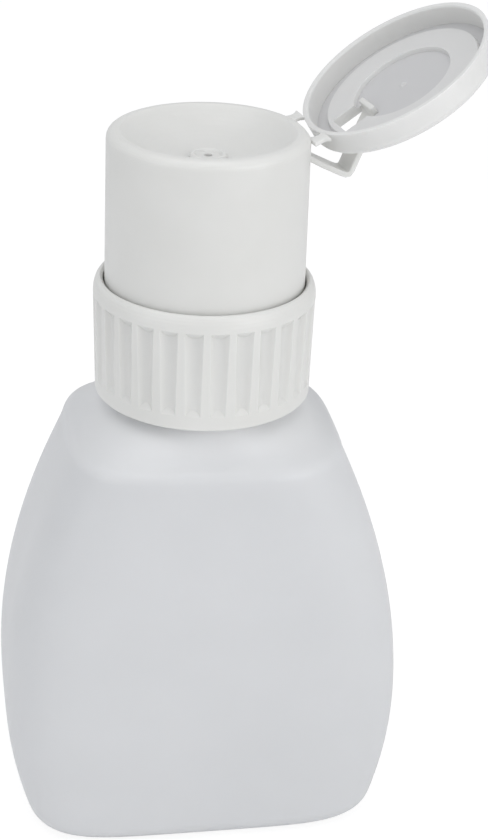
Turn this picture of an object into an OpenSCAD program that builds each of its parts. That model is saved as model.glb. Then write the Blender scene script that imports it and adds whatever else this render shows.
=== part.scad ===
// Push-down dosing bottle: blown bottle, ribbed screw collar, pump with a dish head and a flip lid.
// Millimetres. Z is up from the standing plane, X is the wide way and the front faces -Y.
// The flip lid is drawn open, hinged on the +X side of the head, and the head stands up.

/* [Bottle] */
// Width of the bottle at its widest level
bottle_w = 78.4; // [74:0.2:84]
// Depth of the bottle at its widest level
bottle_d = 50; // [48:0.5:56]
// Height of the widest level
widest_z = 27; // [18:1:34]
// Width at the standing plane, before the heel is rounded
base_w = 67.6; // [64:0.2:74]
// Depth at the standing plane, before the heel is rounded
base_d = 50; // [46:0.5:54]
// Height of the shoulder edge, where the walls end
shoulder_z = 79; // [75:0.5:82]
// Width at the shoulder edge
shoulder_w = 53; // [51:0.5:58]
// Depth at the shoulder edge
shoulder_d = 46.5; // [46:0.5:50]
// Radius of the shoulder edge
shoulder_r = 4.5; // [3:0.5:5]
// Rise from the shoulder edge to the root of the neck
shoulder_rise = 9.2; // [7:0.1:10]
// Radius of the heel
heel_r = 5; // [3:0.5:6]
// Width of the ring that the bottle stands on
stand_w = 2.4; // [1.5:0.1:4]
// Height that the middle of the base is pushed up
push_up = 2; // [1.8:0.1:3]
// Radius of the pushed-up base's dome
dome_r = 340; // [320:10:500]
// Thickness of the blown wall
wall = 1.1; // [0.8:0.1:1.5]
// How square the plan is at the shoulder, 2 is an ellipse
square_top = 3.3; // [3:0.1:5]
// How square the plan is at the base, 2 is an ellipse
square_base = 5.2; // [3:0.1:6]
// Outer radius of the neck
neck_r = 17.55; // [17:0.05:17.6]
// Thickness of the neck
neck_wall = 1.5; // [1.2:0.1:2]
// Height of the neck above its root
neck_h = 8.7; // [8:0.1:10]

/* [Collar] */
// Outer radius of the collar at its top
collar_r = 20.8; // [20.7:0.1:21.5]
// Amount that the collar narrows from its top down to its lower edge
collar_taper = 0.4; // [0:0.1:0.5]
// Height of the threaded skirt below the deck
skirt_h = 10; // [9:0.1:10]
// Height of the guide above the deck
guide_h = 11; // [10.2:0.1:12]
// Thickness of the deck between the skirt and the guide
deck_t = 1.5; // [1:0.1:2]
// Radius of the hole in the deck
deck_hole_r = 10.5; // [10:0.1:12]
// Height of the rounded top edge
collar_round = 3; // [2:0.1:3.4]
// Height of the smooth band below the grip flutes
band_h = 2.8; // [2:0.1:4]
// Height of the smooth band above the grip flutes
top_band_h = 3; // [2.6:0.1:4.5]
// Number of grip flutes round the collar
flute_count = 28; // [20:1:32]
// Radius of a flute's round hollow
flute_r = 2.2; // [1.6:0.1:3]
// Depth of a flute
flute_depth = 0.5; // [0.3:0.05:0.6]
// Length that a flute's ends run out over
flute_run_out = 1.4; // [0.6:0.1:2]
// Gap round the neck inside the skirt
thread_gap = 1.3; // [1.2:0.05:1.4]

/* [Head] */
// Outer radius of the head at its rim
head_r = 18.5; // [18.3:0.05:18.6]
// Height of the head from its lower edge to the rim
head_h = 30.5; // [28:0.5:34]
// Growth of the head's radius from the rim down to the lower edge
head_draft = 0.2; // [0:0.05:0.2]
// Thickness of the head's wall
head_wall = 1.5; // [1.2:0.1:2]
// Radius of the rim's outer rounding
rim_round = 1.7; // [1:0.1:1.8]
// Width of the rim's flat crest
rim_flat = 0.7; // [0.4:0.1:1]
// Depth of the dish below the rim
dish_depth = 5.5; // [4:0.1:7]
// Thickness of the dish
dish_t = 1.4; // [1:0.1:2]
// Radius of the flat floor in the middle of the dish
floor_r = 4.3; // [4.2:0.1:5]
// Depth of the flat cut on the head's hinge side
hinge_flat = 1.1; // [0.8:0.1:1.2]
// Height of the flat cut on the head's hinge side
hinge_flat_h = 7.5; // [7:0.1:9]
// Outer radius of the hub that holds the stem
hub_r = 4.6; // [4.2:0.1:5]
// Length of the hub below the dish floor
hub_h = 18; // [12:0.5:20]
// Radius of the ring round the outlet
outlet_r = 3.5; // [3.2:0.1:4]
// Height of the ring round the outlet
outlet_h = 0.8; // [0.5:0.1:1.2]
// Radius of the outlet hole
outlet_hole_r = 0.8; // [0.5:0.1:1.2]
// Running gap between the head and the collar's guide
guide_gap = 0.3; // [0.25:0.05:0.4]
// Angle that the head stands turned on its stem
head_yaw = 10.5; // [-30:0.5:30]
// Travel of the head when it is pressed
stroke = 8; // [6:0.5:8]
// Space left under the head when it is fully pressed
stroke_rest = 0.5; // [0.3:0.1:1]

/* [Lid] */
// Outer radius of the lid
lid_r = 18.9; // [18.7:0.05:19]
// Height of the lid
lid_h = 5.2; // [4.6:0.1:6]
// Thickness of the lid's skirt
lid_wall = 1.05; // [0.9:0.05:1.1]
// Thickness of the lid's plate
lid_t = 1.2; // [0.9:0.1:1.5]
// Radius of the lid's outer edge
lid_round = 1.6; // [1:0.1:2]
// Inner radius of the raised ring inside the lid
land_in_r = 9.6; // [9:0.1:11]
// Outer radius of the raised ring inside the lid
land_out_r = 15.6; // [15:0.1:16.4]
// Height of the raised ring inside the lid
land_h = 0.8; // [0.5:0.1:1.2]
// Gap between the closed lid's mouth and the rounded rim
mouth_gap = 0.2; // [0.15:0.05:0.3]
// Angle that the lid opens through
lid_angle = 147; // [120:1:150]
// Distance of the hinge line outside the head's radius
hinge_out = 0.65; // [0.5:0.05:0.8]
// Distance of the hinge line below the rim
hinge_drop = 0.75; // [0.6:0.05:1]
// Distance between the middles of the two side straps
strap_pitch = 13; // [12:0.2:15]
// Width of a side strap at its waist
strap_w = 2.6; // [2:0.1:3]
// Thickness of a side strap
strap_t = 0.8; // [0.6:0.05:1]

/* [Toggle strap] */
// Width of the toggle strap
toggle_w = 5.6; // [4.5:0.1:6]
// Thickness of the toggle strap
toggle_t = 1.1; // [0.8:0.05:1.3]
// Distance of the strap's root below the rim
toggle_root = 5.3; // [4.5:0.1:6]
// Distance of the bend outside the hinge flat
toggle_reach = 9.3; // [8:0.1:10]
// Distance of the bend below the rim
toggle_dip = 10.1; // [9:0.1:11]
// Distance of the slot's inner end from the middle of the lid
slot_start = 7.2; // [6:0.1:8]
// Length of the slot in the lid
slot_l = 7; // [6:0.1:7.5]
// Gap on each side of the strap in the slot
slot_gap = 0.4; // [0.3:0.05:0.6]
// Length that the strap's end stands into the lid
toggle_end = 1.6; // [1:0.1:2]

/* [Pump] */
// Outer radius of the pump barrel
barrel_r = 8.2; // [7.8:0.1:8.6]
// Thickness of the pump barrel
barrel_wall = 1.2; // [1:0.1:1.3]
// Length of the barrel below its flange
barrel_l = 38; // [34:0.5:42]
// Thickness of the barrel's flange
flange_t = 1.5; // [1:0.1:2]
// Distance of the flange's edge inside the neck's outer radius
flange_in = 0.2; // [0.1:0.05:0.4]
// Gap between the flange and the collar's deck
deck_gap = 0.1; // [0.05:0.05:0.2]
// Thickness of the gasket on the neck
gasket_t = 1; // [0.6:0.1:1.5]
// Outer radius of the stem
stem_r = 3; // [2.8:0.05:3.2]
// Radius of the bore through the stem
stem_bore_r = 1.7; // [1.4:0.05:1.9]
// Running gap of the turning and sliding round parts
run_gap = 0.05; // [0.03:0.01:0.08]
// Height of the stem guide above the deck
guide_top = 2.5; // [2:0.1:3]
// Length of the stem guide that the stem runs in
guide_bore_l = 7; // [5:0.5:9]
// Thickness of the stem guide's lower sleeve
sleeve_t = 1.1; // [0.9:0.1:1.5]
// Gap between the piston and the stem guide when the head is up
stop_gap = 0.3; // [0.1:0.05:0.5]
// Radius of the stem guide's cap
guide_cap_r = 9.6; // [9:0.1:9.8]
// Length of the stem below the barrel's flange
stem_deep = 11; // [9:0.5:12]
// Height of the piston
piston_h = 6; // [5:0.1:7]
// Thickness of the piston's sealing lips
piston_lip = 0.8; // [0.6:0.05:1]
// Thickness of the plunger rod's foot
foot_t = 1.6; // [1.2:0.1:2]
// Radius of the plunger rod's foot
foot_r = 5.6; // [5.2:0.1:6]
// Length of the plunger rod inside the stem
rod_in = 10; // [8:0.5:14]

/* [Spring and valve] */
// Radius of the spring's wire
wire_r = 0.5; // [0.4:0.05:0.6]
// Radius of the spring's coil to the middle of the wire
coil_r = 4.9; // [4.6:0.1:5.2]
// Number of turns in the spring
coil_turns = 7; // [5:1:8]
// Radius of the suction ball
ball_r = 2.3; // [2:0.05:2.4]
// Radius of the chamber round the ball
chamber_r = 3; // [2.9:0.05:3.3]
// Height of the chamber round the ball
chamber_h = 5.6; // [5.2:0.1:7]
// Radius of the hole under the ball
seat_r = 1.6; // [1.3:0.05:1.7]
// Thickness of the wall under the ball
seat_t = 1.2; // [1:0.1:1.6]
// Outer radius of the dip tube
tube_r = 2.5; // [2.2:0.05:2.7]
// Thickness of the dip tube
tube_wall = 0.7; // [0.5:0.05:0.9]
// Depth of the socket that holds the dip tube
socket_h = 7; // [5:0.5:9]
// Thickness of the wall round the socket and the chamber
socket_wall = 1.2; // [1:0.1:1.5]
// Distance of the dip tube's end above the inside of the base
tube_end = 2.5; // [1.5:0.1:4]

/* [Hidden] */
$fn = 96;

// Points round each level of the bottle, and levels in each stretch of its wall
plan_points = 64;
wall_steps = 10;
inner_steps = 6;
turn_points = 16;
wire_points = 6;
eps = 0.01;

// Heights, from the standing plane upwards
neck_root = shoulder_z + shoulder_rise;
neck_top = neck_root + neck_h;
flange_z = neck_top + gasket_t;
flange_top = flange_z + flange_t;
deck_z = flange_top + deck_gap;
deck_top = deck_z + deck_t;
collar_z = deck_z - skirt_h;
collar_top = deck_top + guide_h;
head_z = deck_top + stroke + stroke_rest;
rim_z = head_z + head_h;
dish_z = rim_z - dish_depth;
hub_z = dish_z - hub_h;
stem_top = dish_z - dish_t - eps;
stem_z = flange_z - stem_deep;
piston_z = stem_z - piston_h;
foot_z = piston_z - foot_t;
barrel_floor = flange_top - barrel_l;
chamber_z = barrel_floor - chamber_h;
socket_top = chamber_z - seat_t;
socket_z = socket_top - socket_h;

// Radii that follow from others
skirt_r = neck_r + thread_gap;
guide_r = head_r + head_draft + guide_gap;
guide_low = stem_z + stop_gap;
barrel_in = barrel_r - barrel_wall;
hub_bore = stem_r + run_gap;
socket_r = max(tube_r, chamber_r) + socket_wall;
flat_x = head_r - hinge_flat;
crest_r = head_r - rim_round;
dish_r = crest_r - rim_flat;
dish_round = (dish_r * dish_r + dish_depth * dish_depth) / (2 * dish_depth);

// The hinge line and the toggle strap's corners, seen from the front
hinge_x = head_r + hinge_out;
hinge_z = rim_z - hinge_drop;
lid_in = lid_r - lid_wall;
mouth_in = max(0, lid_in - mouth_gap - crest_r);
lid_z = rim_z - rim_round + sqrt(rim_round * rim_round - mouth_in * mouth_in);
strap_root = [flat_x, rim_z - toggle_root];
strap_bend = [flat_x + toggle_reach, rim_z - toggle_dip];

function mix(a, b, k) = a + (b - a) * k;
function signed_power(v, p) = sign(v) * pow(abs(v), p);
function arc(x, y, r, from, to, steps = 6) =
    [for (i = [0 : steps]) let (a = mix(from, to, i / steps)) [x + r * cos(a), y + r * sin(a)]];

// Half width or half depth of the bottle at height z: one parabola up to the shoulder, one down to the base
function half_size(z, base, wide, top) =
    z > widest_z
        ? mix(wide, top, pow((z - widest_z) / (shoulder_z - widest_z), 2)) / 2
        : mix(wide, base, pow((widest_z - z) / widest_z, 2)) / 2;
function half_w(z) = half_size(min(z, shoulder_z), base_w, bottle_w, shoulder_w);
function half_d(z) = half_size(min(z, shoulder_z), base_d, bottle_d, shoulder_d);
function squareness(z) = mix(square_base, square_top, min(z / shoulder_z, 1));

// One level of the bottle: a rounded rectangle with bulging sides
function level(a, b, n, z) =
    [for (i = [0 : plan_points - 1]) let (t = 360 * (i + 0.5) / plan_points)
        [a * signed_power(cos(t), 2 / n), b * signed_power(sin(t), 2 / n), z]];
function wall_level(z, inset) = level(half_w(z) - inset, half_d(z) - inset, squareness(z), z);
function dome(x, y) = push_up - dome_r + sqrt(dome_r * dome_r - x * x - y * y);
function floor_level(share) =
    [for (p = level((half_w(0) - heel_r) * share, (half_d(0) - heel_r) * share, squareness(0), wall))
        [p[0], p[1], p[2] + (share < 0.2 ? push_up : dome(p[0], p[1]))]];

// Heel, walls and shoulder edge of one skin of the bottle, t deep inside the outer one
function skin(t, steps) = concat(
    [for (a = [90 : -15 : 15]) let (z = heel_r - (heel_r - t) * sin(a))
        level(half_w(z) - heel_r + (heel_r - t) * cos(a), half_d(z) - heel_r + (heel_r - t) * cos(a),
              squareness(z), z)],
    [for (i = [0 : steps]) wall_level(mix(heel_r, shoulder_z, i / steps), t)],
    [for (a = [15 : 15 : 75]) let (r = shoulder_r - t)
        level(half_w(shoulder_z) - shoulder_r + r * cos(a), half_d(shoulder_z) - shoulder_r + r * cos(a),
              square_top, shoulder_z + r * sin(a))]);

// Slope from the shoulder edge to the neck, t deep inside the outer skin and r wide at the neck
function slope(t, r) =
    let (a = 75, s = shoulder_r - t, w = half_w(shoulder_z) - shoulder_r + s * cos(a),
         d = half_d(shoulder_z) - shoulder_r + s * cos(a), z = shoulder_z + s * sin(a))
    [for (k = [0.3, 0.6, 0.85, 1])
        level(mix(w, r, k), mix(d, r, k), mix(square_top, 2, k), mix(z, neck_root - t, pow(k, 1.3)))];

function backwards(list) = [for (i = [len(list) - 1 : -1 : 0]) list[i]];

// Faces between neighbouring levels, with the first and last level closed
function loft_faces(levels, points) = concat(
    [[for (i = [0 : points - 1]) i]],
    [for (j = [0 : levels - 2], i = [0 : points - 1])
        [j * points + i, (j + 1) * points + i, (j + 1) * points + (i + 1) % points,
         j * points + (i + 1) % points]],
    [[for (i = [points - 1 : -1 : 0]) (levels - 1) * points + i]]);
module loft(levels) {
    polyhedron([for (l = levels) each l], loft_faces(len(levels), len(levels[0])), convexity = 8);
}

// A bar in the plane of the toggle strap, with round ends
module bar(from, to, t) {
    step = to - from;
    translate(from) rotate(atan2(step[1], step[0])) translate([0, -t / 2]) square([norm(step), t]);
    translate(from) circle(t / 2);
    translate(to) circle(t / 2);
}

// Turns a shape with the head
module turned() { rotate(head_yaw) children(); }

// Moves a shape from the closed lid's place to the open lid's
module open_lid() {
    translate([hinge_x, 0, hinge_z]) rotate([0, lid_angle, 0]) translate([-hinge_x, 0, -hinge_z]) children();
}
function opened(p) =
    let (x = p[0] - hinge_x, z = p[1] - hinge_z)
    [hinge_x + x * cos(lid_angle) + z * sin(lid_angle), hinge_z - x * sin(lid_angle) + z * cos(lid_angle)];

// Flat shape with round corners
module round_rect(w, d, r) {
    square([w - 2 * r, d], center = true);
    square([w, d - 2 * r], center = true);
    for (x = [-1, 1], y = [-1, 1]) translate([x * (w / 2 - r), y * (d / 2 - r)]) circle(r);
}

// Blown bottle: hollow, standing on a ring round a pushed-up middle, with a round neck
module bottle() {
    ring = heel_r + stand_w;
    core_out = neck_r - 0.35;
    core_in = neck_r - neck_wall + 0.35;
    color([0.86, 0.87, 0.88])
        difference() {
            union() {
                loft(concat(
                    skin(0, wall_steps),
                    slope(0, core_out),
                    [level(core_out, core_out, 2, neck_top - 1), level(core_in, core_in, 2, neck_top - 1)],
                    backwards(slope(wall, core_in)),
                    backwards(skin(wall, inner_steps)),
                    [floor_level(0.8), floor_level(0.15)]));
                rotate_extrude()
                    polygon([[neck_r - neck_wall, neck_root + 0.3], [neck_r, neck_root + 0.3],
                             [neck_r, neck_top], [neck_r - neck_wall, neck_top]]);
            }
            intersection() {
                translate([0, 0, -1])
                    linear_extrude(push_up + 2)
                        round_rect(base_w - 2 * ring, base_d - 2 * ring, 7);
                translate([0, 0, push_up - dome_r]) sphere(dome_r);
            }
        }
}

// Screw collar: skirt over the neck, deck over the pump's flange, guide round the head, grip flutes
module collar() {
    low_r = collar_r - collar_taper;
    flute_low = collar_z + band_h;
    flute_high = collar_top - top_band_h;
    bed = low_r - flute_depth;
    lip_r = guide_r + 0.5;
    color([0.93, 0.93, 0.92])
        difference() {
            rotate_extrude()
                polygon(concat(
                    [[skirt_r, collar_z], [low_r - 0.3, collar_z], [low_r, collar_z + 0.3]],
                    [for (p = arc(0, 0, 1, 0, 90))
                        [lip_r + p[0] * (collar_r - lip_r), collar_top + (p[1] - 1) * collar_round]],
                    [[guide_r, collar_top - 0.5], [guide_r, deck_top],
                     [deck_hole_r, deck_top], [deck_hole_r, deck_z], [skirt_r, deck_z]]));
            intersection() {
                translate([0, 0, flute_low])
                    linear_extrude(flute_high - flute_low)
                        for (i = [0 : flute_count - 1])
                            rotate(360 * i / flute_count)
                                translate([bed + flute_r, 0])
                                    circle(flute_r, $fn = 32);
                rotate_extrude()
                    polygon([[collar_r + 2, flute_low - 1], [collar_r + 2, flute_high + 1],
                             [collar_r, flute_high - 0.1], [bed - 0.05, flute_high - flute_run_out],
                             [bed - 0.05, flute_low + flute_run_out], [low_r, flute_low + 0.1]]);
            }
        }
}

// Pump head: open skirt, dish on top, hub inside for the stem, flat on the hinge side
module head_shell() {
    centre_z = rim_z - dish_depth + dish_round;
    foot_x = head_r + head_draft;
    edge_a = acos(dish_r / dish_round);
    floor_a = acos(floor_r / dish_round);
    under_r = dish_round + dish_t;
    in_r = head_r - head_wall;
    color([0.94, 0.94, 0.93])
        difference() {
            rotate_extrude()
                polygon(concat(
                    [[foot_x - head_wall, head_z], [foot_x, head_z]],
                    arc(crest_r, rim_z - rim_round, rim_round, 0, 90),
                    arc(0, centre_z, dish_round, -edge_a, -floor_a, 10),
                    [[hub_bore, centre_z - dish_round * sin(floor_a)], [hub_bore, hub_z], [hub_r, hub_z]],
                    arc(0, centre_z, under_r, -acos(hub_r / under_r), -acos(in_r / under_r), 8)));
            turned()
                translate([flat_x, -head_r, rim_z - hinge_flat_h])
                    cube([head_r, 2 * head_r, hinge_flat_h + 1]);
        }
}

// Ring and nozzle pressed into the middle of the dish
module outlet_ring() {
    seat = rim_z - dish_depth + dish_round - sqrt(dish_round * dish_round - floor_r * floor_r);
    color([0.95, 0.95, 0.95])
        rotate_extrude()
            polygon([[outlet_hole_r, stem_top + eps], [stem_r, stem_top + eps], [stem_r, seat],
                     [outlet_r, seat], [outlet_r, seat + outlet_h / 2],
                     [outlet_r - outlet_h / 2, seat + outlet_h],
                     [outlet_r - outlet_h, seat + outlet_h], [outlet_r - 1.5 * outlet_h, seat + outlet_h / 2],
                     [outlet_hole_r, seat + outlet_h / 2]]);
}

// Flip lid, drawn shut and turned open: short skirt, raised ring and slot for the toggle strap
module lid() {
    top = lid_z + lid_h;
    under = top - lid_t;
    color([0.93, 0.93, 0.93])
        turned() open_lid()
            difference() {
                rotate_extrude()
                    polygon(concat(
                        [[0, under - 0.3], [0.5, under - 0.2], [0.7, under], [land_in_r, under],
                         [land_in_r + 0.3, under - land_h], [land_out_r - 0.3, under - land_h],
                         [land_out_r, under], [lid_r - lid_wall, under],
                         [lid_r - lid_wall, lid_z + 0.3], [lid_r - lid_wall + 0.2, lid_z],
                         [lid_r, lid_z]],
                        arc(lid_r - lid_round, top - lid_round, lid_round, 0, 90),
                        [[0, top]]));
                translate([slot_start, -toggle_w / 2 - slot_gap, under - land_h - 1])
                    cube([slot_l, toggle_w + 2 * slot_gap, lid_t + land_h + 2]);
            }
}

// Side strap of the lid's hinge: a thin waisted bridge from the head's flat to the lid's skirt
module hinge_strap(side) {
    edge = opened([sqrt(lid_r * lid_r - strap_pitch * strap_pitch / 4), lid_z + strap_t / 2]);
    far_x = edge[0] + 1.5;
    low_z = hinge_z - 2 * strap_t;
    mid = [flat_x - 1, hinge_z - strap_t];
    color([0.94, 0.94, 0.93])
        turned() difference() {
            translate([0, side * strap_pitch / 2, 0])
                intersection() {
                    rotate([90, 0, 0])
                        linear_extrude(2 * strap_w, center = true)
                            bar(mid, [far_x, edge[1]], strap_t);
                    translate([0, 0, low_z - 3])
                        linear_extrude(8)
                            polygon([[flat_x, -strap_w * 0.8], [hinge_x - 0.5, -strap_w / 2],
                                     [hinge_x + 0.5, -strap_w / 2], [far_x, -strap_w * 0.8],
                                     [far_x, strap_w * 0.8], [hinge_x + 0.5, strap_w / 2],
                                     [hinge_x - 0.5, strap_w / 2], [flat_x, strap_w * 0.8]]);
                }
            open_lid() translate([0, 0, lid_z - 5]) cylinder(r = lid_r, h = lid_h + 5);
        }
}
module hinge_strap_front() { hinge_strap(-1); }
module hinge_strap_back() { hinge_strap(1); }

// Toggle strap: from the head's flat, round its bend and through the slot to the lid
module toggle_strap() {
    slot_end = opened([slot_start + toggle_t / 2, lid_z + lid_h]);
    tip = opened([slot_start + toggle_t / 2, lid_z + lid_h - lid_t - toggle_end]);
    color([0.9, 0.9, 0.89])
        turned() difference() {
            rotate([90, 0, 0])
                linear_extrude(toggle_w, center = true) {
                    bar(strap_root, strap_bend, toggle_t);
                    bar(strap_bend, slot_end, toggle_t);
                    bar(slot_end, tip, toggle_t);
                }
            translate([0, -toggle_w, strap_root[1] - toggle_w]) cube([flat_x, 2 * toggle_w, 2 * toggle_w]);
        }
}

// Hollow stem that the head turns and presses on
module stem() {
    color([0.9, 0.9, 0.9])
        rotate_extrude()
            polygon([[stem_bore_r, stem_z], [stem_r, stem_z], [stem_r, stem_top], [stem_bore_r, stem_top]]);
}

// Plunger rod: pressed up into the stem, with a foot that the spring pushes on
module plunger_rod() {
    color([0.85, 0.85, 0.85])
        rotate_extrude()
            polygon([[0, foot_z], [foot_r, foot_z], [foot_r, foot_z + foot_t / 2],
                     [stem_bore_r + 1, piston_z], [stem_bore_r, piston_z],
                     [stem_bore_r, stem_z + rod_in - 1], [stem_bore_r - 0.6, stem_z + rod_in],
                     [0, stem_z + rod_in]]);
}

// Piston: a sleeve on the rod with an upper and a lower sealing lip
module piston() {
    out = barrel_in - run_gap;
    sleeve = stem_r + 0.6;
    color([0.8, 0.85, 0.9])
        rotate_extrude()
            polygon([[stem_bore_r + run_gap, piston_z + eps], [sleeve, piston_z + eps],
                     [out - piston_lip, piston_z + 1], [out - piston_lip, piston_z], [out, piston_z],
                     [out, stem_z], [out - piston_lip, stem_z], [out - piston_lip, stem_z - 1],
                     [sleeve, stem_z - eps], [stem_bore_r + run_gap, stem_z - eps]]);
}

// Stem guide: closes the barrel and carries the stem
module stem_guide() {
    top = deck_top + guide_top;
    bore = stem_r + run_gap;
    plug = barrel_in - run_gap;
    color([0.88, 0.88, 0.88])
        rotate_extrude()
            polygon([[bore, flange_top - guide_bore_l], [plug - sleeve_t, flange_top - guide_bore_l],
                     [plug - sleeve_t, guide_low], [plug, guide_low], [plug, flange_top],
                     [guide_cap_r, flange_top], [guide_cap_r, top - 1.5],
                     [guide_cap_r - 1.5, top], [bore, top]]);
}

// Pump barrel: flange on the neck, barrel, ball chamber and socket for the dip tube
module pump_barrel() {
    flange_r = neck_r - flange_in;
    color([0.9, 0.91, 0.92])
        rotate_extrude()
            polygon([[barrel_in, flange_top], [flange_r, flange_top], [flange_r, flange_z],
                     [barrel_r, flange_z], [barrel_r, barrel_floor + 1],
                     [socket_r, barrel_floor - 2], [socket_r, socket_z], [tube_r, socket_z],
                     [tube_r, socket_top], [seat_r, socket_top], [seat_r, chamber_z],
                     [chamber_r, chamber_z + chamber_r - seat_r], [chamber_r, barrel_floor],
                     [barrel_in, barrel_floor]]);
}

// Flat gasket between the neck and the flange
module gasket() {
    color([0.75, 0.8, 0.85])
        translate([0, 0, neck_top])
            difference() {
                cylinder(r = neck_r, h = gasket_t);
                translate([0, 0, -1]) cylinder(r = neck_r - neck_wall - 0.6, h = gasket_t + 2);
            }
}

// Return spring between the barrel's floor and the plunger rod's foot
module return_spring() {
    rise = foot_z - barrel_floor - 2 * wire_r - 2 * eps;
    steps = coil_turns * turn_points;
    color([0.75, 0.76, 0.78])
        loft([for (i = [0 : steps])
            let (a = 360 * i / turn_points, z = barrel_floor + wire_r + eps + rise * i / steps)
            [for (j = [0 : wire_points - 1]) let (b = 360 * j / wire_points, r = coil_r + wire_r * cos(b))
                [r * cos(a), r * sin(a), z + wire_r * sin(b)]]]);
}

// Ball that closes the barrel's foot when the head is pressed
module suction_ball() {
    rest = chamber_z + sqrt(2) * ball_r - seat_r + 2 * eps;
    color([0.6, 0.75, 0.85]) translate([0, 0, rest]) sphere(r = ball_r);
}

// Dip tube: from the barrel's socket to the base, cut at a slant
module dip_tube() {
    low = wall + push_up + tube_end;
    color([0.85, 0.88, 0.9])
        difference() {
            translate([0, 0, low]) cylinder(r = tube_r, h = socket_top - low);
            translate([0, 0, low - 1]) cylinder(r = tube_r - tube_wall, h = socket_top - low + 2);
            translate([-tube_r, 0, low])
                rotate([0, -40, 0])
                    translate([-1, -2 * tube_r, -10])
                        cube([20, 4 * tube_r, 10]);
        }
}

bottle();
collar();
head_shell();
outlet_ring();
lid();
hinge_strap_front();
hinge_strap_back();
toggle_strap();
stem();
plunger_rod();
piston();
stem_guide();
pump_barrel();
gasket();
return_spring();
suction_ball();
dip_tube();
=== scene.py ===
from math import atan2, cos, pi, radians, sin

import bpy
import bmesh
from mathutils import Matrix, Vector


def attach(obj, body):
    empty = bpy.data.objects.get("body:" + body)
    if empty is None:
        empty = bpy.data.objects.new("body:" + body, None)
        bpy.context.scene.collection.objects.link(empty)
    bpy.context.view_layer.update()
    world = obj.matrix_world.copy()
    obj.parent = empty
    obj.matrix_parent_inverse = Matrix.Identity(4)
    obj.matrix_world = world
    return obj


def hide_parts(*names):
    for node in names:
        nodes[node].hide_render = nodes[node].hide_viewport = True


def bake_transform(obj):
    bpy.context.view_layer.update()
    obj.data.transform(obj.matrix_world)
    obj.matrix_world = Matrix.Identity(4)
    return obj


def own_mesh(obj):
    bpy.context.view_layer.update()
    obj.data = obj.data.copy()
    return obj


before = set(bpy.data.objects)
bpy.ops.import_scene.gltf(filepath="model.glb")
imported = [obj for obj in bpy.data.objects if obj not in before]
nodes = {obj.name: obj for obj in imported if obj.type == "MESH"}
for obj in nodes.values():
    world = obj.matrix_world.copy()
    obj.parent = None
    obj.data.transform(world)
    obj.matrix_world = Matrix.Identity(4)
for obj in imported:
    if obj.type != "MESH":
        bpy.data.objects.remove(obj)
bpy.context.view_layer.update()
print("frame loaded:", len(nodes), "nodes")

mm = 0.001
scene = bpy.context.scene


# small helpers used by every piece

def clearSelection():
    if bpy.context.object and bpy.context.object.mode != "OBJECT":
        bpy.ops.object.mode_set(mode="OBJECT")
    bpy.ops.object.select_all(action="DESELECT")


def applyModifiers(piece):
    clearSelection()
    bpy.context.view_layer.objects.active = piece
    piece.select_set(True)
    for modifier in list(piece.modifiers):
        bpy.ops.object.modifier_apply(modifier=modifier.name)


def placeAtOrigin(piece):
    clearSelection()
    bpy.context.view_layer.objects.active = piece
    piece.select_set(True)
    bpy.ops.object.transform_apply(location=True, rotation=True, scale=True)


def smoothByAngle(piece, degrees):
    clearSelection()
    bpy.context.view_layer.objects.active = piece
    piece.select_set(True)
    bpy.ops.object.shade_smooth_by_angle(angle=radians(degrees))


def finishPiece(piece, body, stands=()):
    # a strap that bends between two bodies rides on neither
    if body:
        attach(piece, body)
    if stands:
        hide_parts(*stands)


# shader groups: cloudy tone and fine skin of moulded plastic, drawing lines of steel

def groupInput(group, name, kind, value):
    socket = group.interface.new_socket(name=name, in_out="INPUT", socket_type=kind)
    socket.default_value = value


def makePlasticSkin():
    group = bpy.data.node_groups.new("plasticSkin", "ShaderNodeTree")
    groupInput(group, "Light Tone", "NodeSocketColor", (0.8, 0.8, 0.8, 1))
    groupInput(group, "Deep Tone", "NodeSocketColor", (0.7, 0.7, 0.7, 1))
    groupInput(group, "Cloud Scale", "NodeSocketFloat", 40.0)
    groupInput(group, "Skin Scale", "NodeSocketFloat", 900.0)
    groupInput(group, "Gloss", "NodeSocketFloat", 0.35)
    group.interface.new_socket(name="Tone", in_out="OUTPUT", socket_type="NodeSocketColor")
    group.interface.new_socket(name="Roughness", in_out="OUTPUT", socket_type="NodeSocketFloat")
    group.interface.new_socket(name="Height", in_out="OUTPUT", socket_type="NodeSocketFloat")
    made = group.nodes
    link = group.links.new
    inside = made.new("NodeGroupInput")
    outside = made.new("NodeGroupOutput")
    place = made.new("ShaderNodeTexCoord")
    cloud = made.new("ShaderNodeTexNoise")
    cloud.inputs["Detail"].default_value = 3
    cloud.inputs["Roughness"].default_value = 0.55
    skin = made.new("ShaderNodeTexNoise")
    skin.inputs["Detail"].default_value = 2
    blend = made.new("ShaderNodeMix")
    blend.data_type = "RGBA"
    spread = made.new("ShaderNodeMapRange")
    spread.inputs["From Min"].default_value = 0.3
    spread.inputs["From Max"].default_value = 0.7
    rough = made.new("ShaderNodeMath")
    rough.operation = "MULTIPLY_ADD"
    rough.inputs[1].default_value = 0.1
    link(place.outputs["Object"], cloud.inputs["Vector"])
    link(place.outputs["Object"], skin.inputs["Vector"])
    link(inside.outputs["Cloud Scale"], cloud.inputs["Scale"])
    link(inside.outputs["Skin Scale"], skin.inputs["Scale"])
    link(cloud.outputs["Fac"], spread.inputs["Value"])
    link(spread.outputs["Result"], blend.inputs["Factor"])
    link(inside.outputs["Light Tone"], blend.inputs["A"])
    link(inside.outputs["Deep Tone"], blend.inputs["B"])
    link(skin.outputs["Fac"], rough.inputs[0])
    link(inside.outputs["Gloss"], rough.inputs[2])
    link(blend.outputs["Result"], outside.inputs["Tone"])
    link(rough.outputs["Value"], outside.inputs["Roughness"])
    link(skin.outputs["Fac"], outside.inputs["Height"])
    return group


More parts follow.
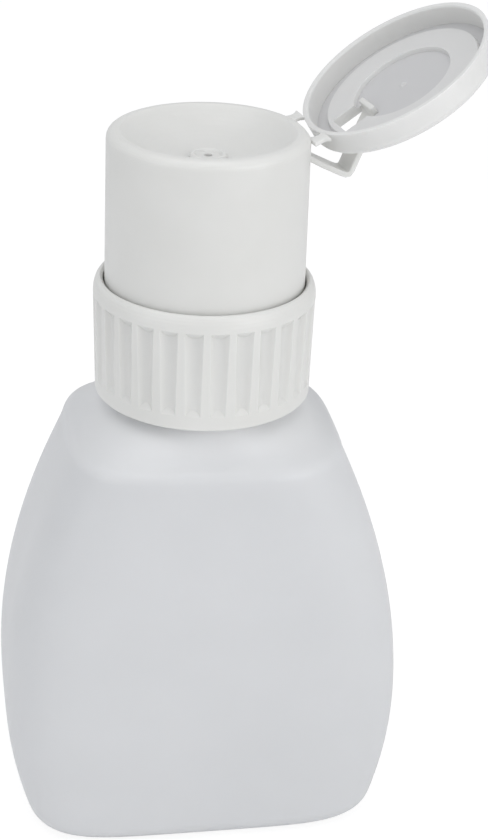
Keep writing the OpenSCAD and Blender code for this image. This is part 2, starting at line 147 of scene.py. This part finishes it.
def makeWireLines():
    group = bpy.data.node_groups.new("wireLines", "ShaderNodeTree")
    groupInput(group, "Light Tone", "NodeSocketColor", (0.7, 0.7, 0.7, 1))
    groupInput(group, "Deep Tone", "NodeSocketColor", (0.5, 0.5, 0.5, 1))
    groupInput(group, "Line Scale", "NodeSocketFloat", 600.0)
    group.interface.new_socket(name="Tone", in_out="OUTPUT", socket_type="NodeSocketColor")
    group.interface.new_socket(name="Roughness", in_out="OUTPUT", socket_type="NodeSocketFloat")
    made = group.nodes
    link = group.links.new
    inside = made.new("NodeGroupInput")
    outside = made.new("NodeGroupOutput")
    place = made.new("ShaderNodeTexCoord")
    stretch = made.new("ShaderNodeMapping")
    stretch.inputs["Scale"].default_value = (1, 1, 0.2)
    lines = made.new("ShaderNodeTexNoise")
    lines.inputs["Detail"].default_value = 4
    blend = made.new("ShaderNodeMix")
    blend.data_type = "RGBA"
    rough = made.new("ShaderNodeMapRange")
    rough.inputs["To Min"].default_value = 0.18
    rough.inputs["To Max"].default_value = 0.38
    link(place.outputs["Object"], stretch.inputs["Vector"])
    link(stretch.outputs["Vector"], lines.inputs["Vector"])
    link(inside.outputs["Line Scale"], lines.inputs["Scale"])
    link(lines.outputs["Fac"], blend.inputs["Factor"])
    link(inside.outputs["Light Tone"], blend.inputs["A"])
    link(inside.outputs["Deep Tone"], blend.inputs["B"])
    link(lines.outputs["Fac"], rough.inputs["Value"])
    link(blend.outputs["Result"], outside.inputs["Tone"])
    link(rough.outputs["Result"], outside.inputs["Roughness"])
    return group


plasticSkin = makePlasticSkin()
wireLines = makeWireLines()


def makePlastic(name, look):
    material = bpy.data.materials.new(name)
    material.use_nodes = True
    tree = material.node_tree
    shader = tree.nodes["Principled BSDF"]
    skin = tree.nodes.new("ShaderNodeGroup")
    skin.node_tree = plasticSkin
    skin.inputs["Light Tone"].default_value = (*look["lightTone"], 1)
    skin.inputs["Deep Tone"].default_value = (*look["deepTone"], 1)
    skin.inputs["Cloud Scale"].default_value = look["cloudScale"]
    skin.inputs["Skin Scale"].default_value = look["skinScale"]
    skin.inputs["Gloss"].default_value = look["gloss"]
    bump = tree.nodes.new("ShaderNodeBump")
    bump.inputs["Strength"].default_value = look["bump"]
    bump.inputs["Distance"].default_value = look["bumpDepth"]
    shader.inputs["IOR"].default_value = 1.5
    shader.inputs["Subsurface Weight"].default_value = look["milky"]
    shader.inputs["Subsurface Radius"].default_value = look["glow"]
    shader.inputs["Subsurface Scale"].default_value = look["glowReach"]
    tree.links.new(skin.outputs["Tone"], shader.inputs["Base Color"])
    tree.links.new(skin.outputs["Roughness"], shader.inputs["Roughness"])
    tree.links.new(skin.outputs["Height"], bump.inputs["Height"])
    tree.links.new(bump.outputs["Normal"], shader.inputs["Normal"])
    return material


def paintLightAndShade(material, look):
    # painted light and shade: a second tone by the place along an axis, painted lighter where shade falls or
    # painted darker as shade
    tree = material.node_tree
    shader = tree.nodes["Principled BSDF"]
    tone = shader.inputs["Base Color"].links[0].from_socket
    place = tree.nodes.new("ShaderNodeTexCoord")
    along = tree.nodes.new("ShaderNodeVectorMath")
    along.operation = "DOT_PRODUCT"
    along.inputs[1].default_value = look["axis"]
    paintedBand = tree.nodes.new("ShaderNodeMapRange")
    paintedBand.inputs["From Min"].default_value = look["low"]
    paintedBand.inputs["From Max"].default_value = look["high"]
    share = tree.nodes.new("ShaderNodeValToRGB")
    stops = share.color_ramp.elements
    for position, value in look["shares"]:
        stop = stops.new(position)
        stop.color = (value, value, value, 1)
    stops.remove(stops[0])
    stops.remove(stops[-1])
    mix = tree.nodes.new("ShaderNodeMix")
    mix.data_type = "RGBA"
    mix.inputs["B"].default_value = (*look["tone"], 1)
    tree.links.new(place.outputs["Object"], along.inputs[0])
    tree.links.new(along.outputs["Value"], paintedBand.inputs["Value"])
    tree.links.new(paintedBand.outputs["Result"], share.inputs["Fac"])
    tree.links.new(share.outputs["Color"], mix.inputs["Factor"])
    if look["oneSide"]:
        # only faces that look along the axis
        facing = tree.nodes.new("ShaderNodeVectorMath")
        facing.operation = "DOT_PRODUCT"
        facing.inputs[1].default_value = look["axis"]
        both = tree.nodes.new("ShaderNodeMath")
        both.operation = "MULTIPLY"
        both.use_clamp = True
        tree.links.new(place.outputs["Normal"], facing.inputs[0])
        tree.links.new(facing.outputs["Value"], both.inputs[0])
        tree.links.new(share.outputs["Color"], both.inputs[1])
        tree.links.new(both.outputs["Value"], mix.inputs["Factor"])
    tree.links.new(tone, mix.inputs["A"])
    tree.links.new(mix.outputs["Result"], shader.inputs["Base Color"])


def makeSteel(name, look):
    material = bpy.data.materials.new(name)
    material.use_nodes = True
    tree = material.node_tree
    shader = tree.nodes["Principled BSDF"]
    lines = tree.nodes.new("ShaderNodeGroup")
    lines.node_tree = wireLines
    lines.inputs["Light Tone"].default_value = (*look["lightTone"], 1)
    lines.inputs["Deep Tone"].default_value = (*look["deepTone"], 1)
    lines.inputs["Line Scale"].default_value = look["lineScale"]
    shader.inputs["Metallic"].default_value = 1
    tree.links.new(lines.outputs["Tone"], shader.inputs["Base Color"])
    tree.links.new(lines.outputs["Roughness"], shader.inputs["Roughness"])
    return material


milkyBottle = makePlastic("milkyBottle", {
    "lightTone": (0.67, 0.677, 0.69), "deepTone": (0.635, 0.643, 0.655), "cloudScale": 22,
    "skinScale": 700, "gloss": 0.30, "bump": 0.12, "bumpDepth": 0.00008, "milky": 0.5,
    "glow": (1.0, 0.97, 0.94), "glowReach": 0.003})
# painted light: the shoulder slope from the ridge to the neck, shaded by the collar and head, is painted lighter
paintLightAndShade(milkyBottle, {
    "axis": (0, 0, 1), "low": 0, "high": 0.1, "tone": (0.79, 0.795, 0.80), "oneSide": False,
    "shares": [(0.80, 0), (0.845, 0.6), (0.88, 1)]})
whiteCap = makePlastic("whiteCap", {
    "lightTone": (0.72, 0.72, 0.702), "deepTone": (0.69, 0.69, 0.67), "cloudScale": 55,
    "skinScale": 1500, "gloss": 0.28, "bump": 0.06, "bumpDepth": 0.00004, "milky": 0.45,
    "glow": (1.0, 0.97, 0.94), "glowReach": 0.002})
whiteLid = makePlastic("whiteLid", {
    "lightTone": (0.73, 0.73, 0.72), "deepTone": (0.71, 0.71, 0.70), "cloudScale": 55,
    "skinScale": 1500, "gloss": 0.28, "bump": 0.06, "bumpDepth": 0.00004, "milky": 0.45,
    "glow": (1.0, 0.97, 0.94), "glowReach": 0.002})
# painted shade: the inner disc of the opened lid, inside its skirt, is painted darker
paintLightAndShade(whiteLid, {
    "axis": (-0.5355, -0.0993, 0.8387), "low": 0.1, "high": 0.11, "tone": (0.57, 0.57, 0.575), "oneSide": True,
    "shares": [(0.09, 0), (0.15, 1), (0.19, 1), (0.26, 0.38), (0.34, 0)]})
clearPump = makePlastic("clearPump", {
    "lightTone": (0.74, 0.76, 0.78), "deepTone": (0.70, 0.73, 0.75), "cloudScale": 70,
    "skinScale": 1200, "gloss": 0.22, "bump": 0.05, "bumpDepth": 0.00004, "milky": 0.3,
    "glow": (1.0, 0.98, 0.95), "glowReach": 0.0015})
softSeal = makePlastic("softSeal", {
    "lightTone": (0.62, 0.66, 0.70), "deepTone": (0.57, 0.61, 0.66), "cloudScale": 90,
    "skinScale": 1800, "gloss": 0.42, "bump": 0.1, "bumpDepth": 0.00004, "milky": 0.2,
    "glow": (1.0, 0.98, 0.95), "glowReach": 0.001})
springSteel = makeSteel("springSteel", {
    "lightTone": (0.62, 0.62, 0.63), "deepTone": (0.5, 0.5, 0.52), "lineScale": 900})
ballSteel = makeSteel("ballSteel", {
    "lightTone": (0.7, 0.7, 0.71), "deepTone": (0.6, 0.6, 0.62), "lineScale": 300})

nodeFinish = {
    "collar": whiteCap, "head_shell": whiteCap, "outlet_ring": whiteCap, "lid": whiteLid,
    "hinge_strap_front": whiteCap, "hinge_strap_back": whiteCap, "toggle_strap": whiteCap, "bottle": milkyBottle,
    "stem": clearPump, "plunger_rod": clearPump, "stem_guide": clearPump, "pump_barrel": clearPump,
    "piston": softSeal, "gasket": softSeal, "dip_tube": softSeal,
    "return_spring": springSteel, "suction_ball": ballSteel}


def setMaterial(piece, material):
    piece.data.materials.clear()
    piece.data.materials.append(material)


def dressNode(name):
    node = nodes[name]
    if not node.material_slots:
        node.data.materials.append(nodeFinish[name])
    for slot in node.material_slots:
        slot.material = nodeFinish[name]


for name in nodeFinish:
    dressNode(name)
print("materials made")


# bottle body: one ring of points grown upwards level by level, from the middle of the base to the neck's rim

bottleBody = {
    "points": 64, "width": 78.4, "depth": 50, "wideAt": 27, "baseWidth": 67.6, "baseDepth": 50,
    "shoulderAt": 79, "shoulderWidth": 53, "shoulderDepth": 46.5, "shoulderRound": 3.6, "rise": 9.2,
    "heel": 5, "stand": 2.4, "pushUp": 2.0, "squareBase": 5.2, "squareTop": 3.7,
    "baseInset": 2.5,
    "neck": 17.55, "neckHeight": 8.7, "wall": 1.1, "smoothing": 2}


def signedPower(value, power):
    return (1 if value >= 0 else -1) * abs(value) ** power


def bottleHalf(z, base, wide, top):
    s = bottleBody
    z = min(z, s["shoulderAt"])
    if z > s["wideAt"]:
        share, end = ((z - s["wideAt"]) / (s["shoulderAt"] - s["wideAt"])) ** 2, top
    else:
        share, end = ((s["wideAt"] - z) / s["wideAt"]) ** 2, base
    return (wide + (end - wide) * share) / 2


def bottleLevels():
    # each level: height, half width, half depth, squareness of the plan
    s = bottleBody
    def across(z): return bottleHalf(z, s["baseWidth"], s["width"], s["shoulderWidth"])
    def deep(z): return bottleHalf(z, s["baseDepth"], s["depth"], s["shoulderDepth"])
    def square(z):
        return s["squareBase"] + (s["squareTop"] - s["squareBase"]) * min(z / s["shoulderAt"], 1)

    flatW, flatD = across(0) - s["heel"], deep(0) - s["heel"]
    levels = [(s["pushUp"], flatW * 0.3, flatD * 0.3, 3.2),
              (s["pushUp"] * 0.93, flatW * 0.6, flatD * 0.55, 3.6),
              (s["pushUp"] * 0.72, flatW - 5.2, flatD - 4.4, 4.0),
              (s["pushUp"] * 0.5, flatW - 3.2, flatD - 3.0, 4.2),
              (0.15, flatW - s["stand"], flatD - s["stand"], 4.4),
              (0, flatW - s["stand"] + 0.6, flatD - s["stand"] + 0.6, 4.4),
              (0, flatW - 0.4, flatD - 0.4, 4.4)]
    for angle in (75, 60, 45, 30, 15):
        z = s["heel"] * (1 - sin(radians(angle)))
        inset = s["heel"] * (1 - cos(radians(angle)))
        levels.append((z, across(z) - inset, deep(z) - inset, square(z)))
    for step in range(14):
        z = s["heel"] + (s["shoulderAt"] - s["heel"]) * step / 13
        levels.append((z, across(z), deep(z), square(z)))
    for angle in (18, 36, 54, 72):
        inset = s["shoulderRound"] * (1 - cos(radians(angle)))
        levels.append((s["shoulderAt"] + s["shoulderRound"] * sin(radians(angle)),
                       across(s["shoulderAt"]) - inset, deep(s["shoulderAt"]) - inset, s["squareTop"]))
    lastZ, lastW, lastD, lastS = levels[-1]
    root = s["shoulderAt"] + s["rise"]
    for share in (0.3, 0.55, 0.75, 0.9):
        levels.append((lastZ + (root - lastZ) * share ** 1.3, lastW + (s["neck"] - lastW) * share,
                       lastD + (s["neck"] - lastD) * share, lastS + (2 - lastS) * share))
    neckTop = root + s["neckHeight"]
    for z in (root + 0.15, root + 0.6, root + 3, neckTop - 0.5, neckTop - 0.1):
        levels.append((z, s["neck"], s["neck"], 2))
    levels.append((neckTop, s["neck"] - 0.25, s["neck"] - 0.25, 2))
    return levels


def planPoint(index, halfW, halfD, square):
    angle = 2 * pi * (index + 0.5) / bottleBody["points"]
    return halfW * signedPower(cos(angle), 2 / square), halfD * signedPower(sin(angle), 2 / square)


def makeBottleBody():
    s = bottleBody
    levels = bottleLevels()
    clearSelection()
    count = s["points"]
    bpy.ops.mesh.primitive_circle_add(vertices=count, radius=1 * mm, fill_type="NOTHING",
                                      location=(0, 0, levels[0][0] * mm), rotation=(0, 0, pi / count))
    piece = bpy.context.object
    piece.name = "bottleBody"
    placeAtOrigin(piece)
    bpy.ops.object.mode_set(mode="EDIT")
    bpy.ops.mesh.select_mode(type="VERT")
    bpy.ops.mesh.select_all(action="SELECT")
    shape = [(cos(2 * pi * (i + 0.5) / count), sin(2 * pi * (i + 0.5) / count)) for i in range(count)]
    height = levels[0][0]

    def selectRing(ring):
        mesh = bmesh.from_edit_mesh(piece.data)
        mesh.verts.ensure_lookup_table()
        for v in mesh.verts:
            v.select = False
        for index in ring:
            mesh.verts[index].select = True
        mesh.select_flush_mode()
        bmesh.update_edit_mesh(piece.data)

    def ringOrder():
        # the newest ring's points, going round from the +X side
        mesh = bmesh.from_edit_mesh(piece.data)
        chosen = [v for v in mesh.verts if v.select]
        return [v.index for v in sorted(chosen, key=lambda v: atan2(v.co.y, v.co.x) % (2 * pi))]

    first = True
    for z, halfW, halfD, square in levels:
        if not first:
            bpy.ops.mesh.extrude_region_move(TRANSFORM_OT_translate={"value": (0, 0, (z - height) * mm)})
        ring = ringOrder()
        target = [planPoint(i, halfW, halfD, square) for i in range(count)]
        for index in range(count // 4):
            mirrored = [index, count // 2 - 1 - index, count // 2 + index, count - 1 - index]
            selectRing([ring[i] for i in mirrored])
            growX = target[index][0] / shape[index][0]
            growY = target[index][1] / shape[index][1]
            bpy.ops.transform.resize(value=(growX, growY, 1), center_override=(0, 0, z * mm))
        shape = target
        height = z
        selectRing(ring)
        first = False
    # close the middle of the base
    selectRing(range(count))
    bpy.ops.mesh.edge_face_add()
    bpy.ops.mesh.inset(thickness=s["baseInset"] * mm)
    bpy.ops.mesh.select_all(action="SELECT")
    bpy.ops.mesh.normals_make_consistent(inside=False)
    bpy.ops.object.mode_set(mode="OBJECT")
    wall = piece.modifiers.new("wall", "SOLIDIFY")
    wall.thickness = s["wall"] * mm
    wall.offset = -1
    smooth = piece.modifiers.new("smooth", "SUBSURF")
    smooth.levels = s["smoothing"]
    smooth.render_levels = s["smoothing"]
    applyModifiers(piece)
    bpy.ops.object.shade_smooth()
    setMaterial(piece, milkyBottle)
    finishPiece(piece, "bottle", ["bottle"])


makeBottleBody()
print("bottle body made")


# neck thread under the collar: a blunt profile wound up the neck

neckThread = {
    "neck": 17.35, "crest": 18.45, "foot": 2.0, "tip": 0.9, "pitch": 4, "turns": 1.35, "start": 90.4,
    "steps": 96, "soften": 0.15}


def closeEnds(piece):
    clearSelection()
    bpy.context.view_layer.objects.active = piece
    piece.select_set(True)
    bpy.ops.object.mode_set(mode="EDIT")
    bpy.ops.mesh.select_all(action="SELECT")
    bpy.ops.mesh.remove_doubles(threshold=0.001 * mm)
    bpy.ops.mesh.fill_holes(sides=0)
    bpy.ops.mesh.select_all(action="SELECT")
    bpy.ops.mesh.normals_make_consistent(inside=False)
    bpy.ops.object.mode_set(mode="OBJECT")


def windUp(piece, turns, rise, steps):
    # a profile standing in the XZ plane is wound round Z
    winding = piece.modifiers.new("winding", "SCREW")
    winding.axis = "Z"
    winding.angle = 2 * pi * turns
    winding.screw_offset = rise
    winding.steps = steps
    winding.render_steps = steps
    winding.use_merge_vertices = False
    applyModifiers(piece)
    closeEnds(piece)


def makeNeckThread():
    s = neckThread
    clearSelection()
    middle = (s["neck"] + s["crest"]) / 2
    centre = (middle * mm, 0, s["start"] * mm)
    bpy.ops.mesh.primitive_plane_add(size=1 * mm, location=centre, rotation=(pi / 2, 0, 0))
    piece = bpy.context.object
    piece.name = "neckThread"
    placeAtOrigin(piece)
    bpy.ops.object.mode_set(mode="EDIT")
    bpy.ops.mesh.select_all(action="SELECT")
    bpy.ops.transform.resize(value=(s["crest"] - s["neck"], 1, s["foot"]), center_override=centre)
    mesh = bmesh.from_edit_mesh(piece.data)
    for v in mesh.verts:
        v.select = v.co.x > middle * mm
    mesh.select_flush_mode()
    bmesh.update_edit_mesh(piece.data)
    bpy.ops.transform.resize(value=(1, 1, s["tip"] / s["foot"]), center_override=centre)
    bpy.ops.mesh.select_all(action="SELECT")
    bpy.ops.mesh.delete(type="ONLY_FACE")
    bpy.ops.object.mode_set(mode="OBJECT")
    windUp(piece, s["turns"], s["turns"] * s["pitch"] * mm, s["steps"])
    soften = piece.modifiers.new("soften", "BEVEL")
    soften.width = s["soften"] * mm
    soften.segments = 2
    soften.limit_method = "ANGLE"
    applyModifiers(piece)
    smoothByAngle(piece, 40)
    setMaterial(piece, milkyBottle)
    finishPiece(piece, "bottle")


makeNeckThread()

# return coil round the plunger rod

returnCoil = {
    "wire": 0.5, "coil": 4.9, "turns": 7, "low": 61.4, "high": 79.3, "gap": 0.02, "sides": 10, "steps": 224,
    "pressed": 0.55}


def makeReturnCoil():
    s = returnCoil
    clearSelection()
    first = (s["coil"] * mm, 0, (s["low"] + s["wire"] + s["gap"]) * mm)
    bpy.ops.mesh.primitive_circle_add(vertices=s["sides"], radius=s["wire"] * mm, fill_type="NOTHING",
                                      location=first, rotation=(pi / 2, 0, 0))
    piece = bpy.context.object
    piece.name = "returnCoil"
    placeAtOrigin(piece)
    windUp(piece, s["turns"], (s["high"] - s["low"] - 2 * s["wire"] - 2 * s["gap"]) * mm, s["steps"])
    smoothByAngle(piece, 60)
    setMaterial(piece, springSteel)
    finishPiece(piece, "pump", ["return_spring"])
    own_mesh(piece)
    return piece


makeReturnCoil()
print("thread and coil made")

# straps of the lid: strips drawn as one edge along a path, thickened and rounded

headTurn = radians(10.5)


def makeStrap(name, path, side, thickness, bevel, stands):
    # path: x, z and width of the strip, from the head to the lid
    clearSelection()
    x, z, width = path[0]
    bpy.ops.mesh.primitive_plane_add(size=width * mm, location=(x * mm, side * mm, z * mm))
    piece = bpy.context.object
    piece.name = name
    placeAtOrigin(piece)
    bpy.ops.object.mode_set(mode="EDIT")
    bpy.ops.mesh.select_mode(type="VERT")
    mesh = bmesh.from_edit_mesh(piece.data)
    for v in mesh.verts:
        v.select = v.co.x < x * mm
    mesh.select_flush_mode()
    bmesh.update_edit_mesh(piece.data)
    bpy.ops.mesh.delete(type="VERT")
    bpy.ops.mesh.select_all(action="SELECT")
    bpy.ops.transform.translate(value=(-width / 2 * mm, 0, 0))
    for nextX, nextZ, nextWidth in path[1:]:
        move = ((nextX - x) * mm, 0, (nextZ - z) * mm)
        centre = (nextX * mm, side * mm, nextZ * mm)
        bpy.ops.mesh.extrude_region_move(TRANSFORM_OT_translate={"value": move})
        bpy.ops.transform.resize(value=(1, nextWidth / width, 1), center_override=centre)
        x, z, width = nextX, nextZ, nextWidth
    bpy.ops.mesh.select_all(action="SELECT")
    bpy.ops.mesh.normals_make_consistent(inside=False)
    bpy.ops.transform.rotate(value=-headTurn, orient_axis="Z", center_override=(0, 0, 0))
    bpy.ops.object.mode_set(mode="OBJECT")
    thick = piece.modifiers.new("thick", "SOLIDIFY")
    thick.thickness = thickness * mm
    thick.offset = 0
    thick.use_even_offset = True
    rounded = piece.modifiers.new("rounded", "BEVEL")
    rounded.width = bevel * mm
    rounded.segments = 3
    rounded.limit_method = "ANGLE"
    rounded.angle_limit = radians(50)
    applyModifiers(piece)
    smoothByAngle(piece, 45)
    setMaterial(piece, whiteCap)
    finishPiece(piece, None, stands)
    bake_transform(piece)


sideStrap = {"thickness": 0.75, "round": 0.2,
             "path": [(17.3, 138.45, 4.4), (17.8, 138.5, 3.6), (18.4, 138.65, 2.9), (19.1, 138.9, 2.6),
                      (19.6, 139.1, 3.0), (20.0, 139.25, 3.9), (20.3, 139.35, 4.3)]}
toggleBand = {"thickness": 1.1, "round": 0.25,
              "path": [(17.3, 134.75, 6.2), (18.0, 134.4, 5.7), (21.4, 132.5, 5.6), (25.2, 130.6, 5.6),
                       (26.1, 130.25, 5.6), (26.8, 130.3, 5.6), (27.25, 130.85, 5.6), (28.6, 134.0, 5.6),
                       (30.2, 137.7, 5.6), (31.3, 140.0, 5.6), (31.5, 140.9, 5.6), (31.1, 141.9, 5.6),
                       (30.4, 142.9, 5.6)]}
for label, side in (("Front", -6.5), ("Back", 6.5)):
    makeStrap("sideStrap" + label, sideStrap["path"], side, sideStrap["thickness"], sideStrap["round"],
              ["hinge_strap_" + label.lower()])
makeStrap("toggleBand", toggleBand["path"], 0, toggleBand["thickness"], toggleBand["round"], ["toggle_strap"])
print("straps made")

# floor, lamps, world and camera

studio = {
    "floor": (0.93, 0.93, 0.93), "floorDeep": (0.916, 0.916, 0.916), "world": 0.62,
    "glow": 1.13, "glowShare": 0.75, "key": 1.5, "fill": 0.5, "top": 1.5}


def makeFloor():
    clearSelection()
    bpy.ops.mesh.primitive_plane_add(size=6, location=(0, 0, 0))
    floor = bpy.context.object
    floor.name = "studioFloor"
    material = bpy.data.materials.new("paleFloor")
    material.use_nodes = True
    tree = material.node_tree
    shader = tree.nodes["Principled BSDF"]
    output = tree.nodes["Material Output"]
    grain = tree.nodes.new("ShaderNodeTexNoise")
    grain.inputs["Scale"].default_value = 8
    tone = tree.nodes.new("ShaderNodeMix")
    tone.data_type = "RGBA"
    tone.inputs["A"].default_value = (*studio["floor"], 1)
    tone.inputs["B"].default_value = (*studio["floorDeep"], 1)
    tree.links.new(grain.outputs["Fac"], tone.inputs["Factor"])
    tree.links.new(tone.outputs["Result"], shader.inputs["Base Color"])
    shader.inputs["Roughness"].default_value = 0.9
    shader.inputs["Specular IOR Level"].default_value = 0.0
    path = tree.nodes.new("ShaderNodeLightPath")
    glow = tree.nodes.new("ShaderNodeEmission")
    glow.inputs["Color"].default_value = (1, 1, 1, 1)
    glow.inputs["Strength"].default_value = studio["glow"]
    mix = tree.nodes.new("ShaderNodeMixShader")
    share = tree.nodes.new("ShaderNodeMath")
    share.operation = "MULTIPLY"
    share.inputs[1].default_value = studio["glowShare"]
    tree.links.new(path.outputs["Is Camera Ray"], share.inputs[0])
    tree.links.new(share.outputs["Value"], mix.inputs["Fac"])
    tree.links.new(shader.outputs["BSDF"], mix.inputs[1])
    tree.links.new(glow.outputs["Emission"], mix.inputs[2])
    tree.links.new(mix.outputs["Shader"], output.inputs["Surface"])
    floor.data.materials.append(material)


def makeWorld():
    world = bpy.data.worlds.new("softStudio")
    scene.world = world
    world.use_nodes = True
    tree = world.node_tree
    back = tree.nodes["Background"]
    back.inputs["Color"].default_value = (0.97, 0.98, 1.0, 1)
    back.inputs["Strength"].default_value = studio["world"]
    white = tree.nodes.new("ShaderNodeBackground")
    white.inputs["Color"].default_value = (1, 1, 1, 1)
    white.inputs["Strength"].default_value = 1
    path = tree.nodes.new("ShaderNodeLightPath")
    mix = tree.nodes.new("ShaderNodeMixShader")
    seen = tree.nodes.new("ShaderNodeMath")
    seen.operation = "MAXIMUM"
    tree.links.new(path.outputs["Is Camera Ray"], seen.inputs[0])
    tree.links.new(path.outputs["Is Transmission Ray"], seen.inputs[1])
    tree.links.new(seen.outputs["Value"], mix.inputs["Fac"])
    tree.links.new(back.outputs["Background"], mix.inputs[1])
    tree.links.new(white.outputs["Background"], mix.inputs[2])
    tree.links.new(mix.outputs["Shader"], tree.nodes["World Output"].inputs["Surface"])


def makeLamp(name, place, aim, size, power, colour):
    clearSelection()
    bpy.ops.object.light_add(type="AREA", location=place)
    lamp = bpy.context.object
    lamp.name = name
    lamp.data.shape = "RECTANGLE"
    lamp.data.size, lamp.data.size_y = size
    lamp.data.energy = power
    lamp.data.color = colour
    lamp.rotation_euler = (Vector(aim) - Vector(place)).to_track_quat("-Z", "Y").to_euler()


def makeCamera():
    view = {"place": (-49.9, -330.7, 246.3), "forward": (0.15594, 0.88408, -0.44056),
            "down": (-0.03848, -0.44024, -0.89706), "lens": 82.78}
    data = bpy.data.cameras.new("photoCamera")
    camera = bpy.data.objects.new("photoCamera", data)
    scene.collection.objects.link(camera)
    forward = Vector(view["forward"]).normalized()
    up = -Vector(view["down"])
    right = forward.cross(up).normalized()
    up = right.cross(forward).normalized()
    turn = Matrix((right, up, -forward)).transposed().to_4x4()
    camera.matrix_world = Matrix.Translation(Vector(view["place"]) * mm) @ turn
    data.sensor_fit = "AUTO"
    data.sensor_width = 36
    data.lens = view["lens"]
    data.clip_start = 0.01
    scene.camera = camera


makeFloor()
makeWorld()
makeLamp("keyLamp", (0.42, -0.5, 0.3), (0, 0, 0.09), (0.5, 0.6), studio["key"], (1, 0.995, 0.99))
makeLamp("fillLamp", (-0.5, -0.3, 0.3), (0, 0, 0.08), (0.4, 0.6), studio["fill"], (0.97, 0.98, 1.0))
makeLamp("topLamp", (-0.1, -0.1, 0.75), (0, 0, 0.1), (0.7, 0.6), studio["top"], (1, 1, 1))
makeCamera()
scene.view_settings.view_transform = "Standard"
print("studio made")
